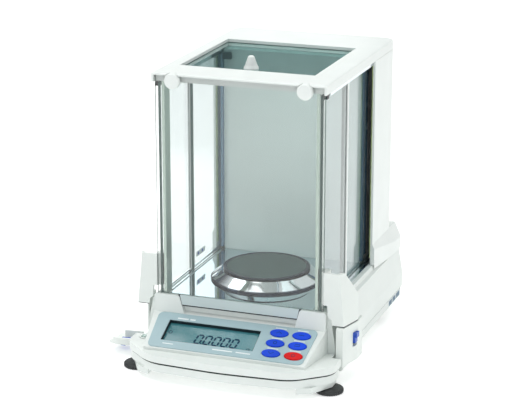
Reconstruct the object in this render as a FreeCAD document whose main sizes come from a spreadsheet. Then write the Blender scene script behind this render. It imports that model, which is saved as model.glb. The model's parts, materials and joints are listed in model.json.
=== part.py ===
import FreeCAD, Part
import os
import re

import Sketcher

from FreeCAD import Placement, Rotation, Vector

# Analytical balance with a glass weighing chamber. +X is to the right of the operator, +Y to the
# back, +Z up, millimetres. The origin is the centre of the footprint on the table.
# Sub-parts are drawn about the pan's vertical axis, and origin_x and origin_y carry them to the origin.

DIMENSIONS = {
    # place of the pan's axis in the model frame
    "origin_x": 15.7975,
    "origin_y": -10.0,
    # case
    "wall": 2.5,
    "case_half": 105.0,
    "case_front": -84.0,
    "case_rear": 175.0,
    "seam_high": 23.0,
    "seam_gap": 2.2,
    "seam_lip": 2.0,
    "crease_high": 41.0,
    "shoulder_half": 100.0,
    "shoulder_high": 69.0,
    "deck_half": 95.5,
    "deck_high": 75.4,
    "apron_high": 31.0,
    "apron_half": 115.0,
    "apron_back": -95.0,
    "apron_front": -155.58,
    "tray_low": 12.0,
    # console
    "console_slope": 25.1,
    "console_top_y": -88.0,
    "console_top_z": 57.0,
    "console_run": 54.1,
    "console_front_half": 88.5,
    "console_rear_half": 97.0,
    "panel_top_half": 89.5,
    "panel_low_half": 85.5,
    "panel_thick": 0.8,
    "window_left": -74.0,
    "window_right": 29.0,
    "window_top": 12.0,
    "window_bottom": 42.0,
    "key_half_long": 10.0,
    "key_half_short": 5.5,
    "key_clear": 0.4,
    "key_left": 49.0,
    "key_right": 73.5,
    "key_first_row": 12.2,
    "key_row_step": 14.8,
    # chamber
    "frame_half": 95.0,
    "frame_low": 308.0,
    "frame_high": 318.0,
    "frame_front": -91.0,
    "column_front": 82.0,
    "column_rear": 162.0,
    "column_corner": 14.0,
    "opening_left": -80.0,
    "opening_right": 69.0,
    "opening_front": -49.0,
    "opening_rear": 94.0,
    "lip_thick": 2.5,
    "glass": 3.0,
    "floor_half": 79.5,
    "floor_high": 77.4,
    "front_glass_y": -87.0,
    "front_glass_half": 92.5,
    "front_pane_x": 87.0,
    "front_pane_rear": -2.0,
    "rear_pane_x": 82.5,
    "rear_pane_front": -6.0,
    "pane_low": 77.0,
    "pane_high": 306.6,
    "track_high": 78.0,
    "track_front": -69.0,
    "track_inner": 81.2,
    "track_outer": 92.2,
    "lid_border": 4.0,
    "lid_rear": 97.0,
    "lid_low": 311.2,
    "knob_x": 72.0,
    "knob_z": 310.0,
    "knob_radius": 8.5,
    "lid_handle_x": -9.5,
    "lid_handle_y": -24.0,
    "overall_high": 328.0,
    # weighing pan
    "pan_radius": 47.5,
    "pan_high": 91.0,
    "ring_radius": 61.0,
    "post_radius": 4.0,
    # door levers and their folding grips
    "lever_front": -88.0,
    "lever_low": 64.0,
    "lever_high": 120.0,
    "lever_corner": 115.5,
    "lever_corner_top": 110.0,
    "lever_side_rear": -60.0,
    "lever_half": 122.5,
    "grip_front": -91.0,
    "grip_rear": -44.0,
    "grip_high": 62.5,
    "hinge_x": 111.5,
    "hinge_z": 18.0,
    "pin_radius": 1.5,
    "knuckle_radius": 3.5,
    "running_gap": 0.05,
    "grip_open": 92.0,
    # feet
    "foot_x": 107.5,
    "foot_y": -110.0,
    "foot_radius": 15.0,
    "rear_foot_x": 88.0,
    "rear_foot_y": 112.0,
    "rear_foot_radius": 6.5,
}

doc = FreeCAD.newDocument("analytical_balance")
sheet = doc.addObject("Spreadsheet::Sheet", "Dims")
for row, (alias, value) in enumerate(DIMENSIONS.items(), start=1):
    sheet.set("A%d" % row, alias)
    sheet.set("B%d" % row, str(value))
    sheet.setAlias("B%d" % row, alias)
doc.recompute()

WORDS = re.compile(r"[A-Za-z_]+")
SIDES = {"left": -1, "right": 1}
finished = []


# Small helpers: every size is a formula of the driving dimensions

def formula(text):
    """The text as an expression that reads each driving dimension from the sheet."""
    return WORDS.sub(lambda m: "Dims." + m.group(0) if m.group(0) in DIMENSIONS else m.group(0), str(text))


def value_of(text):
    return float(sheet.evalExpression(formula(text)))


def bind(obj, **expressions):
    for name, text in expressions.items():
        obj.setExpression(name.replace("__", "."), formula(text))


def span(side, near, far):
    """The interval from near to far on the right, or its mirror image on the left."""
    if side > 0:
        return near, far
    return "-(%s)" % far, "-(%s)" % near


def mirrored(side, points):
    return [("%d*(%s)" % (side, a), b) for a, b in points]


def box(x0, x1, y0, y1, z0, z1):
    obj = doc.addObject("Part::Box", "Block")
    sizes = ["(%s) - (%s)" % pair for pair in ((x1, x0), (y1, y0), (z1, z0))]
    bind(obj, Length=sizes[0], Width=sizes[1], Height=sizes[2])
    bind(obj, Placement__Base__x=x0, Placement__Base__y=y0, Placement__Base__z=z0)
    return obj


TURNS = {"x": Rotation(Vector(0, 1, 0), 90), "y": Rotation(Vector(1, 0, 0), -90), "z": Rotation()}


def rod(x, y, z, radius, length, axis="z"):
    obj = doc.addObject("Part::Cylinder", "Rod")
    obj.Placement = Placement(Vector(), TURNS[axis])
    bind(obj, Radius=radius, Height=length)
    bind(obj, Placement__Base__x=x, Placement__Base__y=y, Placement__Base__z=z)
    return obj


def fuse(*pieces):
    obj = doc.addObject("Part::MultiFuse", "Fusion")
    obj.Shapes = list(pieces)
    return obj


def group(*pieces):
    """One or more separate solids kept together as one sub-part."""
    obj = doc.addObject("Part::Compound", "Group")
    obj.Links = list(pieces)
    return obj


def cut(base, *tools):
    obj = doc.addObject("Part::Cut", "Cut")
    obj.Base = base
    obj.Tool = tools[0] if len(tools) == 1 else fuse(*tools)
    return obj


def common(base, tool):
    obj = doc.addObject("Part::Common", "Overlap")
    obj.Base = base
    obj.Tool = tool
    return obj


def origin_part(body, role):
    return next(item for item in body.Origin.OriginFeatures if item.Role == role)


def outline(body, role, points):
    """A closed sketch of straight lines, with each corner held in place by two formulas."""
    sketch = body.newObject("Sketcher::SketchObject", "Outline")
    sketch.AttachmentSupport = [(origin_part(body, role), "")]
    sketch.MapMode = "FlatFace"
    places = [(value_of(a), value_of(b)) for a, b in points]
    count = len(points)
    for index, start in enumerate(places):
        end = places[(index + 1) % count]
        sketch.addGeometry(Part.LineSegment(Vector(start[0], start[1], 0), Vector(end[0], end[1], 0)))
    for index in range(count):
        sketch.addConstraint(Sketcher.Constraint("Coincident", index, 2, (index + 1) % count, 1))
    for index, texts in enumerate(points):
        for kind, text, place in zip(("DistanceX", "DistanceY"), texts, places[index]):
            number = sketch.addConstraint(Sketcher.Constraint(kind, -1, 1, index, 1, place))
            sketch.setExpression("Constraints[%d]" % number, formula(text))
    return sketch


def prism(plane, points, start, end):
    """A body with a constant outline on a plane, from start to end along the plane's third axis."""
    body = doc.addObject("PartDesign::Body", "Prism")
    sketch = outline(body, plane + "_Plane", points)
    offset = "-(%s)" % end if plane == "XZ" else start
    bind(sketch, AttachmentOffset__Base__z=offset)
    pad = body.newObject("PartDesign::Pad", "Pad")
    pad.Profile = sketch
    bind(pad, Length="(%s) - (%s)" % (end, start))
    return body


def turned(points):
    """A body turned about its own Z axis from a half section of radius and height."""
    body = doc.addObject("PartDesign::Body", "Turned")
    sketch = outline(body, "XZ_Plane", points)
    turn = body.newObject("PartDesign::Revolution", "Revolution")
    turn.Profile = sketch
    turn.ReferenceAxis = (origin_part(body, "Z_Axis"), [""])
    turn.Angle = 360
    return body


def rounded(obj, radius, chosen):
    """The object with the edges that the test picks rounded to a radius."""
    doc.recompute()
    amount = value_of(radius)
    edges = [(i, amount, amount) for i, edge in enumerate(obj.Shape.Edges, start=1) if chosen(edge)]
    result = doc.addObject("Part::Fillet", "Rounding")
    result.Base = obj
    result.Edges = edges
    return result


def is_upright(edge, least=1.0):
    bounds = edge.BoundBox
    return bounds.ZLength > least and bounds.XLength < 0.01 and bounds.YLength < 0.01


def is_level(edge, height):
    return edge.BoundBox.ZLength < 0.01 and abs(edge.BoundBox.ZMin - value_of(height)) < 0.01


def node(label, obj, x="0", y="0", z="0"):
    """Name a sub-part and carry it from the pan's axis to its place in the model frame."""
    obj.Label = label
    bind(obj, Placement__Base__x="origin_x + (%s)" % x, Placement__Base__y="origin_y + (%s)" % y)
    bind(obj, Placement__Base__z=z)
    finished.append(obj)
    return obj


def lay_on_slope(obj, shift=("0", "0")):
    """Tilt a piece drawn flat, with +Y up the slope, onto the console's sloping face."""
    obj.Placement = Placement(Vector(), Rotation(Vector(1, 0, 0), 1))
    bind(obj, Placement__Rotation__Angle="console_slope")
    bind(obj, Placement__Base__x=shift[0], Placement__Base__y="console_top_y + (%s)" % shift[1])
    bind(obj, Placement__Base__z="console_top_z")
    return obj


def slope_node(label, obj):
    lay_on_slope(obj, ("origin_x", "origin_y"))
    obj.Label = label
    finished.append(obj)
    return obj


# Case

APRON = [("apron_half", "apron_back"), ("apron_half", "-119"), ("79", "-150.6"), ("0", "apron_front"),
         ("-79", "-150.6"), ("-apron_half", "-119"), ("-apron_half", "apron_back")]


def case_plan(inset):
    """Plan of the case, drawn in by an inset: a straight tail and the bowed apron in front."""
    tail = [("-case_half", "apron_back"), ("-case_half", "case_rear"),
            ("case_half", "case_rear"), ("case_half", "apron_back")]
    points = []
    for a, b in APRON + tail:
        x, y = value_of(a), value_of(b)
        shift_x = 0 if a == "0" else (inset if x < 0 else -inset)
        shift_y = inset if y < value_of("apron_back") else -inset
        points.append(("%s + (%s)" % (a, shift_x), "%s + (%s)" % (b, shift_y)))
    return points


def apron_plan(inset, back):
    points = []
    for a, b in APRON[1:-1]:
        shift = 0 if a == "0" else (inset if value_of(a) < 0 else -inset)
        points.append(("%s + (%s)" % (a, shift), "%s + (%s)" % (b, inset)))
    ends = [("-apron_half + %s" % inset, back), ("apron_half - %s" % inset, back)]
    return points + ends


def soft_corners(obj):
    """Round the plan corners of the apron into one bowed sweep."""
    for radius, reach in (("22", 115), ("42", 79), ("300", 0)):
        obj = rounded(obj, radius, lambda e: is_upright(e) and e.BoundBox.YMin < -108
                      and abs(abs(e.BoundBox.XMin) - reach) < 6)
    return obj


def case_section(inset):
    """Section across the case: upright skirt, leaning flank, step for the door tracks."""
    half = [("case_half - %s" % inset, "seam_high"), ("case_half - %s" % inset, "crease_high"),
            ("shoulder_half - %s" % inset, "shoulder_high - %s" % (inset / 2)),
            ("deck_half + 1 - %s" % inset, "shoulder_high + 1.5 - %s" % (inset / 2)),
            ("deck_half - %s" % inset, "deck_high - %s" % inset)]
    return half + mirrored(-1, half[::-1])


def upper_case():
    shell = cut(prism("XZ", case_section(0), "case_front", "case_rear"),
                prism("XZ", case_section(2.5), "case_front + wall", "case_rear - wall"))
    apron = soft_corners(prism("XY", apron_plan(0, "apron_back"), "seam_high", "apron_high"))
    neck = box("-case_half", "case_half", "apron_back - 0.01", "case_front + 0.01", "seam_high", "apron_high")
    hollow = soft_corners(prism("XY", apron_plan(2.5, "apron_back - wall"), "seam_high - 1",
                                "apron_high - wall"))
    passage = box("-case_half + wall", "case_half - wall", "apron_back - wall - 0.1", "case_front + 5",
                  "seam_high - 1", "apron_high - wall")
    console_well = box("-84", "84", "-128", "case_front - 3", "apron_high - 5", "apron_high + 1")
    post_hole = rod("0", "0", "deck_high - 6", "post_radius + 5", "10")
    cable_hole = box("-60", "60", "92", "160", "deck_high - 6", "deck_high + 1")
    serial = box("-60.5", "-23.5", "case_rear - 4", "case_rear + 1", "39.5", "55.5")
    power = rod("20", "case_rear - 4", "47", "6.2", "5", "y")
    earth = rod("50", "case_rear - 4", "47", "4.2", "5", "y")
    level = rod("-101", "-103", "apron_high - 2.2", "6.8", "3")
    body = fuse(shell, apron, neck)
    node("upper_case", cut(body, hollow, passage, console_well, post_hole, cable_hole, serial, power, earth,
                           level))


def foot_block(side):
    plan = [("82", "-143"), ("82", "-96"), ("111", "-96"), ("111", "-111"), ("96", "-137")]
    return prism("XY", mirrored(side, plan), "tray_low - 6.5", "tray_low + 0.01")


def lower_case():
    top = "seam_high - seam_gap"
    outer = soft_corners(prism("XY", case_plan(1.5), "tray_low", top))
    tongue = soft_corners(prism("XY", case_plan(2.9), "tray_low + 1", "seam_high + seam_lip"))
    inner = soft_corners(prism("XY", case_plan(4.1), "tray_low + wall", "seam_high + seam_lip + 1"))
    blocks = [foot_block(side) for side in SIDES.values()]
    studs = [rod("%d*foot_x" % side, "foot_y", "tray_low - 8", "3.05", "15") for side in SIDES.values()]
    hook_hole = rod("0", "0", "tray_low - 1", "10", "6")
    ribs = [box("-90", "90", y, "%s + 2" % y, "tray_low + 1", "tray_low + 2.9") for y in ("-60", "150")]
    tray = cut(fuse(outer, tongue), inner)
    node("lower_case", cut(fuse(tray, *(blocks + ribs)), *(studs + [hook_hole])))


# Console

def ellipse(x, y, half_long, half_short, low, high):
    """An upright elliptic slug, drawn in the flat frame of the console's slope."""
    ring = doc.addObject("Part::Ellipse", "Oval")
    bind(ring, MajorRadius=half_long, MinorRadius=half_short)
    bind(ring, Placement__Base__x=x, Placement__Base__y=y, Placement__Base__z=low)
    slug = doc.addObject("Part::Extrusion", "Slug")
    slug.Base = ring
    slug.DirMode = "Normal"
    slug.Solid = True
    bind(slug, LengthFwd="(%s) - (%s)" % (high, low))
    return slug


KEYS = {
    "key_upper_left": ("key_left", 0), "key_upper_right": ("key_right", 0),
    "key_middle_left": ("key_left", 1), "key_middle_right": ("key_right", 1),
    "key_lower_left": ("key_left", 2), "key_lower_right": ("key_right", 2),
}


def key_place(name):
    across, row = KEYS[name]
    return across, "-(key_first_row + %d*key_row_step)" % row


def key_holes(low, high):
    holes = []
    for name in KEYS:
        x, y = key_place(name)
        holes.append(ellipse(x, y, "key_half_long + key_clear", "key_half_short + key_clear", low, high))
    return holes


def window(low, high):
    return box("window_left", "window_right", "-window_bottom", "-window_top", low, high)


def wedge_section(inset, low):
    """Side view of the console's wedge, with its front and its slope drawn in by an inset."""
    front = "console_top_y - console_run*cos(console_slope) + %s" % (2 * inset)
    nose = "console_top_z - (console_run - %s/cos(console_slope))*sin(console_slope)" % (2 * inset)
    drop = 1.1 * inset
    return [("case_front - 0.2", low), (front, low), (front, "%s - %s" % (nose, drop)),
            ("console_top_y", "console_top_z - %s" % drop),
            ("case_front - 0.2", "console_top_z + 2 - %s" % drop)]


def console_plan(inset):
    front = "console_top_y - 53"
    return [("-console_front_half + %s" % inset, front), ("console_front_half - %s" % inset, front),
            ("console_rear_half - %s" % inset, "case_front"),
            ("-console_rear_half + %s" % inset, "case_front")]


def console_housing():
    wedge = common(prism("YZ", wedge_section(0, "apron_high"), "-console_rear_half", "console_rear_half"),
                   prism("XY", console_plan(0), "apron_high", "console_top_z + 5"))
    section = wedge_section(2.7, "apron_high - 0.5")
    hollow = common(prism("YZ", section, "-console_rear_half", "console_rear_half"),
                    prism("XY", console_plan(2.5), "apron_high - 1", "console_top_z + 5"))
    tabs = []
    for side in SIDES.values():
        ear = [("61", "console_top_z - 4"), ("96", "console_top_z - 4"), ("96", "75"), ("94", "76.8"),
               ("68.6", "76.8"), ("67", "75")]
        tabs.append(prism("XZ", mirrored(side, ear), "case_front - 5", "case_front - 0.2"))
    openings = [lay_on_slope(fuse(window("-6", "6"), *key_holes("-6", "6")))]
    node("console_housing", cut(fuse(cut(wedge, hollow), *tabs), *openings))


def display_panel():
    plan = [("-panel_top_half", "-1.5"), ("-panel_low_half", "1.5 - console_run"),
            ("panel_low_half", "1.5 - console_run"), ("panel_top_half", "-1.5")]
    plate = rounded(prism("XY", plan, "0.05", "panel_thick"), "6", lambda e: is_upright(e, 0.1))
    slope_node("display_panel", cut(plate, window("-1", "2"), *key_holes("-1", "2")))


def keys():
    for name in KEYS:
        x, y = key_place(name)
        cap = ellipse(x, y, "key_half_long", "key_half_short", "-2.3", "2")
        slope_node(name, rounded(cap, "0.9", lambda e: is_level(e, "2") and e.Length > 10))
    mat = box("key_left - 13", "key_right + 12.5", "-console_run + 5", "-4.5", "-5.2", "-3.9")
    slope_node("key_mat", group(mat))


def display_electronics():
    glass = box("window_left - 3", "window_right + 3", "-window_bottom - 3", "-window_top + 3", "-6", "-3.2")
    slope_node("display_glass", group(glass))
    board = box("window_left - 6", "key_right + 10", "-console_run + 8", "-5", "-8", "-6.4")
    driver = box("-40", "-20", "-34", "-20", "-9.6", "-8")
    slope_node("display_board", fuse(board, driver))


def spirit_level():
    cup = cut(rod("0", "0", "0", "6.5", "3"), rod("0", "0", "0.8", "5", "3"))
    node("level_cup", cup, "-101", "-103", "apron_high - 2.1")
    vial = turned([("0", "1"), ("4.7", "1"), ("4.7", "3"), ("4", "3.6"), ("0", "3.9")])
    node("level_vial", vial, "-101", "-103", "apron_high - 2.1")


# Chamber

def front_strip():
    face = [("-64.4", "67"), ("64.4", "67"), ("66.7", "floor_high"), ("-66.7", "floor_high")]
    node("front_strip", prism("XZ", face, "case_front - 4.6", "case_front - 0.2"))


def chamber_floor():
    plate = box("-floor_half", "floor_half", "case_front + 1", "column_front - 2", "deck_high + 0.1",
                "floor_high")
    node("chamber_floor", cut(plate, rod("0", "0", "deck_high - 1", "post_radius + 5", "5")))


def weighing_group():
    """The pan with its support, and the draught ring that stands round them."""
    low = "floor_high + 0.1"
    ring = [("ring_radius - 1", low), ("ring_radius", low), ("ring_radius", "floor_high + 1.6"),
            ("50.6", "pan_high - 3.6"), ("49.4", "pan_high - 2.6"), ("44", "pan_high - 2.6"),
            ("44", "pan_high - 3.4"), ("49", "pan_high - 3.4"), ("ring_radius - 1", "floor_high + 1.4")]
    node("draught_ring", turned(ring))
    rim = "pan_high - 1.8"
    pan = [("0", rim), ("46.3", rim), ("pan_radius", "pan_high - 1.1"), ("pan_radius", "pan_high - 0.4"),
           ("46.8", "pan_high"), ("45.2", "pan_high - 0.3"), ("0", "pan_high - 0.3")]
    node("weighing_pan", turned(pan))
    hub = rod("0", "0", "pan_high - 6", "14", "4.15")
    post = rod("0", "0", "40", "post_radius", "pan_high - 45")
    block = box("-12", "12", "-6", "6", "34", "55")
    arms = [box("%d*17.5 - 1.5" % side, "%d*17.5 + 1.5" % side, "-37", "-4", "51.2", "55")
            for side in SIDES.values()]
    bridge = box("-19", "19", "-6", "-3", "51.2", "55")
    node("pan_support", fuse(hub, post, block, bridge, *arms))


def rear_wall():
    plate = box("-floor_half", "floor_half", "column_front - 1.8", "column_front", "floor_high + 0.2",
                "frame_low - 0.5")
    flange = box("-floor_half", "floor_half", "column_front - 0.1", "opening_rear + 3", "frame_low - 2.3",
                 "frame_low - 0.5")
    node("rear_panel", fuse(plate, flange))


def is_rear_corner(edge):
    return is_upright(edge) and edge.BoundBox.YMin > value_of("column_front + 20")


def column_cover():
    outer = rounded(box("-frame_half", "frame_half", "column_front", "column_rear", "deck_high + 0.3",
                        "frame_low - 0.3"), "column_corner", is_rear_corner)
    inner = rounded(box("-frame_half + wall", "frame_half - wall", "column_front - 1", "column_rear - wall",
                        "deck_high", "frame_low + 1"), "column_corner - wall", is_rear_corner)
    skirts = []
    for side in SIDES.values():
        plan = [("frame_half - 1.2", "column_front + 0.3"), ("97.3", "column_front + 0.3"),
                ("102", "column_front + 70"), ("102", "case_rear"), ("frame_half - 16", "case_rear"),
                ("frame_half - 16", "column_rear - 1"),
                ("frame_half - 4.5", "column_rear - 4.5"), ("frame_half - 1.2", "column_rear - 12")]
        slope = [("frame_half - 20", "shoulder_high + 2.1"), ("97", "shoulder_high + 2.1"),
                 ("100.5", "shoulder_high + 0.7"), ("104", "shoulder_high + 0.7"), ("104", "79"),
                 ("frame_half - 0.2", "100"), ("frame_half - 20", "100")]
        under = [("70", "60"), ("97.2", "60"), ("97.2", "deck_high + 0.3"), ("70", "deck_high + 0.3")]
        skirt = common(prism("XY", mirrored(side, plan), "shoulder_high", "100"),
                       prism("XZ", mirrored(side, slope), "column_front", "case_rear"))
        skirts.append(cut(skirt, prism("XZ", mirrored(side, under), "column_front - 1", "case_rear + 1")))
    back = box("-frame_half + 14", "frame_half - 14", "column_rear - 1", "case_rear", "deck_high + 0.3", "90")
    node("column_cover", fuse(cut(outer, inner), back, *skirts))


def column_seals():
    strips = []
    for side in SIDES.values():
        x0, x1 = span(side, "floor_half + 0.1", "rear_pane_x - 0.3")
        strips.append(box(x0, x1, "column_front - 6", "column_front", "floor_high + 3.4", "frame_low - 6"))
    node("column_seals", group(*strips))


def top_frame():
    """The head frame: a slab with the lid's opening and groove, and a thin lip over the front glass."""
    slab = rounded(box("-frame_half", "frame_half", "frame_front", "column_rear", "frame_low", "frame_high"),
                   "column_corner", is_rear_corner)
    slab = rounded(slab, "1.6", lambda e: is_level(e, "frame_high"))
    opening = box("opening_left", "opening_right", "opening_front", "opening_rear", "frame_low - 1",
                  "frame_high + 1")
    slide = box("opening_left - lid_border - 0.4", "opening_right + lid_border + 0.4",
                "opening_front - lid_border - 0.4", "column_rear - wall", "lid_low - 0.2",
                "lid_low + glass + 0.5")
    under_lip = box("-front_glass_half - 0.3", "front_glass_half + 0.3", "frame_front - 1",
                    "front_glass_y + glass + 0.3", "frame_low - 1", "frame_high - lip_thick")
    screws = [rod("%d*knob_x" % side, "front_glass_y", "knob_z", "2.2", "10", "y") for side in SIDES.values()]
    notches = [rod("%d*knob_x" % side, "frame_front - 1", "knob_z", "knob_radius + 0.6",
                   "front_glass_y + 1.3 - frame_front", "y") for side in SIDES.values()]
    node("top_frame", cut(slab, opening, slide, under_lip, *(screws + notches)))


def front_glass():
    pane = box("-front_glass_half", "front_glass_half", "front_glass_y", "front_glass_y + glass",
               "floor_high + 0.2", "frame_high - lip_thick - 0.3")
    holes = [rod("%d*knob_x" % side, "front_glass_y - 1", "knob_z", "2.4", "5", "y")
             for side in SIDES.values()]
    node("front_glass", cut(pane, *holes))


def front_posts():
    posts = []
    for side in SIDES.values():
        x0, x1 = span(side, "floor_half + 3.5", "front_pane_x - 1")
        posts.append(box(x0, x1, "front_glass_y + glass + 0.3", "track_front - 0.4", "deck_high + 0.1",
                         "frame_low - 0.1"))
    node("front_posts", group(*posts))


def front_knobs():
    """Two round screws that hold the front glass to the frame; each grips through its shank."""
    for name, side in SIDES.items():
        disc = turned([("0", "0"), ("2.1", "0"), ("2.1", "9"), ("knob_radius - 0.6", "9"),
                       ("knob_radius", "9.8"), ("knob_radius", "13.2"), ("knob_radius - 1.2", "14.6"),
                       ("0", "15")])
        obj = node("front_knob_" + name, disc, "%d*knob_x" % side, "front_glass_y + 8.9", "knob_z")
        obj.Placement = Placement(Vector(), Rotation(Vector(1, 0, 0), 90))


def glass_clips():
    """Small tabs under the frame's front corners that hold the front glass from behind."""
    clips = []
    for side in SIDES.values():
        x0, x1 = span(side, "front_pane_x + glass + 0.3", "front_glass_half + 1")
        clips.append(box(x0, x1, "front_glass_y + glass + 0.1", "front_glass_y + glass + 7",
                         "frame_low - 5.5", "frame_low - 0.1"))
    node("glass_clips", group(*clips))


def top_door():
    pane = box("opening_left - lid_border", "opening_right + lid_border", "opening_front - lid_border",
               "lid_rear", "lid_low", "lid_low + glass")
    node("top_glass", group(pane))
    tip = "overall_high - lid_low - glass"
    knob = turned([("0", "0"), ("8", "0"), ("8", "1"), ("6.4", "4"), ("3.4", tip + " - 1.2"),
                   ("2.4", tip + " - 0.2"), ("1.6", tip), ("0", tip)])
    node("top_handle", knob, "lid_handle_x", "lid_handle_y", "lid_low + glass")


def side_doors():
    """Each side door is two sheets of glass; the front one carries a stile on its rear edge."""
    for name, side in SIDES.items():
        x0, x1 = span(side, "front_pane_x", "front_pane_x + glass")
        front = box(x0, x1, "front_glass_y + glass + 0.5", "front_pane_rear", "pane_low", "pane_high")
        node("front_pane_" + name, group(front))
        x0, x1 = span(side, "rear_pane_x", "rear_pane_x + glass")
        rear = box(x0, x1, "rear_pane_front", "column_front - 2", "pane_low", "pane_high")
        node("rear_pane_" + name, group(rear))
        x0, x1 = span(side, "front_pane_x - 0.9", "front_pane_x + glass + 1")
        x2, x3 = span(side, "front_pane_x", "front_pane_x + glass")
        strip = box(x0, x1, "front_pane_rear - 3.2", "front_pane_rear + 1", "track_high + 0.6",
                    "frame_low - 5.6")
        groove = box(x2, x3, "front_pane_rear - 4", "front_pane_rear", "track_high", "frame_low")
        node("door_stile_" + name, cut(strip, groove))


RUNNERS = {
    "lower_tracks": (("deck_high + 0.1", "deck_high + 1.2"), ("deck_high + 1", "track_high")),
    "upper_tracks": (("frame_low - 1", "frame_low - 0.1"), ("frame_low - 5", "frame_low - 0.9")),
}


def tracks():
    """Grooved runners that guide the side panes at the floor and under the frame."""
    ribs = (("track_inner", "track_inner + 0.8"), ("85.9", "86.5"), ("track_outer - 1.7", "track_outer"))
    for name, (base, tips) in RUNNERS.items():
        pieces = []
        for side in SIDES.values():
            bands = [("track_inner", "track_outer") + base] + [rib + tips for rib in ribs]
            for near, far, low, high in bands:
                x0, x1 = span(side, near, far)
                pieces.append(box(x0, x1, "track_front", "column_rear - 16", low, high))
        node(name, fuse(*pieces))


# Door levers and grips

def lever_plan(side, corner):
    """Plan of the lever's moulding: a flange on the glass, a front wall and a flared outer wall."""
    inner, front = "front_pane_x + glass", "front_glass_y + glass + 0.5"
    return mirrored(side, [
        (inner, front), ("front_glass_half + 0.4", front), ("front_glass_half + 0.4", "lever_front"),
        (corner, "lever_front"), ("lever_half", "lever_side_rear"), ("lever_half - 3", "lever_side_rear"),
        (corner + " - 2.6", "lever_front + 3"), ("96", "lever_front + 3"), ("96", "-72"), (inner, "-72")])


def leaning(low_points, low, high_points, high):
    """A body between two outlines with the same number of corners, one above the other."""
    body = doc.addObject("PartDesign::Body", "Leaning")
    sketches = []
    for points, height in ((low_points, low), (high_points, high)):
        sketch = outline(body, "XY_Plane", points)
        bind(sketch, AttachmentOffset__Base__z=height)
        sketches.append(sketch)
    loft = body.newObject("PartDesign::AdditiveLoft", "Loft")
    loft.Profile = sketches[0]
    loft.Sections = [sketches[1]]
    loft.Ruled = True
    return body


def lever(name, side):
    wall = leaning(lever_plan(side, "lever_corner"), "lever_low",
                   lever_plan(side, "lever_corner_top"), "lever_high")
    x0, x1 = span(side, "97", "130")
    back = [("lever_front + 7", "lever_high + 1"), ("-50", "lever_high + 1"), ("-50", "lever_high - 28"),
            ("lever_side_rear", "lever_high - 28")]
    slant = prism("YZ", back, x0, x1)
    under = prism("XZ", mirrored(side, [("80", "lever_low - 1"), ("102.6", "lever_low - 1"), ("101.8", "70"),
                                        ("98", "72.5"), ("97.2", "85"), ("80", "85")]), "-100", "-40")
    x0, x1 = span(side, "106", "107.7")
    web = box(x0, x1, "lever_front + 0.5", "-60", "lever_low", "lever_low + 6")
    arm = box(x0, x1, "-80", "-60", "hinge_z - 2", "lever_low + 1")
    x2, x3 = span(side, "107", "hinge_x")
    lugs = []
    for y in ("-80", "-66"):
        lugs.append(rod("%d*hinge_x" % side, y, "hinge_z", "knuckle_radius", "6", "y"))
        lugs.append(box(x2, x3, y, "%s + 6" % y, "hinge_z - 2", "hinge_z + 2"))
    pin = rod("%d*hinge_x" % side, "grip_front + 3.5", "hinge_z", "pin_radius",
              "grip_rear - grip_front - 5", "y")
    node("lever_" + name, fuse(cut(wall, slant, under), web, arm, *(lugs + [pin])))


def grip_wall(side):
    return mirrored(side, [
        ("108", "grip_front"), ("lever_corner", "grip_front"), ("lever_half", "-62"),
        ("lever_half", "grip_rear"), ("lever_half - 2.5", "grip_rear"), ("lever_half - 2.5", "-61.6"),
        ("lever_corner - 2", "grip_front + 2.5"), ("108", "grip_front + 2.5")])


def grip_inside(side):
    """Plan of everything inside the grip's outer face, which trims its sole and ribs."""
    return mirrored(side, [("108", "grip_front"), ("lever_corner", "grip_front"), ("lever_half", "-62"),
                           ("lever_half", "grip_rear"), ("108", "grip_rear")])


def grip(name, side, corner):
    """A grip drawn standing, with two ribs inside, a sole, and knuckles round the hinge pin."""
    low = "hinge_z + 2.5"
    wall = prism("XY", grip_wall(side), low, "grip_high")
    x0, x1 = span(side, "hinge_x", "125")
    front_rib = box(x0, x1, "-84", "-81.5", low, "hinge_z + 24")
    rear_rib = box(x0, x1, "-57", "-54.5", "hinge_z + 12", "hinge_z + 34")
    sole = box(x0, x1, "grip_front", "grip_rear", low, "hinge_z + 5")
    inside = common(fuse(front_rib, rear_rib, sole), prism("XY", grip_inside(side), low, "grip_high"))
    spans = (("grip_front + 3", "-80.3"), ("-73.7", "-66.3"), ("-59.7", "grip_rear"))
    knuckles = [rod("%d*hinge_x" % side, y0, "hinge_z", "knuckle_radius", "(%s) - (%s)" % (y1, y0), "y")
                for y0, y1 in spans]
    bore = rod("%d*hinge_x" % side, "grip_front - 1", "hinge_z", "pin_radius + running_gap",
               "grip_rear - grip_front + 2", "y")
    rooms = [rod("%d*hinge_x" % side, y, "hinge_z", "knuckle_radius + 0.4", "6.6", "y")
             for y in ("-80.3", "-66.3")]
    x2, x3 = span(side, "108", "130")
    slot = box(x2, x3, "-71", "-62.5", "hinge_z + 18.5", "hinge_z + 34.5")
    return cut(fuse(wall, inside, *knuckles), bore, slot, corner_tool(side, corner), *rooms)


def corner_tool(side, radius):
    """The waste outside a rounded upper front corner of the grip."""
    x0, x1 = span(side, "100", "130")
    y, z = "grip_front + %s" % radius, "grip_high - %s" % radius
    block = box(x0, x1, "grip_front - 1", y, z, "grip_high + 1")
    return cut(block, rod(x0, y, z, radius, "30", "x"))


def latch(side):
    """The sliding catch in the grip's window, with a thumb bar across its top."""
    x0, x1 = span(side, "lever_half - 5.5", "lever_half + 0.4")
    x2, x3 = span(side, "lever_half + 0.3", "lever_half + 2")
    body = box(x0, x1, "-70.6", "-62.9", "hinge_z + 22.8", "hinge_z + 34.2")
    bar = box(x2, x3, "-70.2", "-61.9", "hinge_z + 28.5", "hinge_z + 34")
    return fuse(body, bar)


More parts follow.
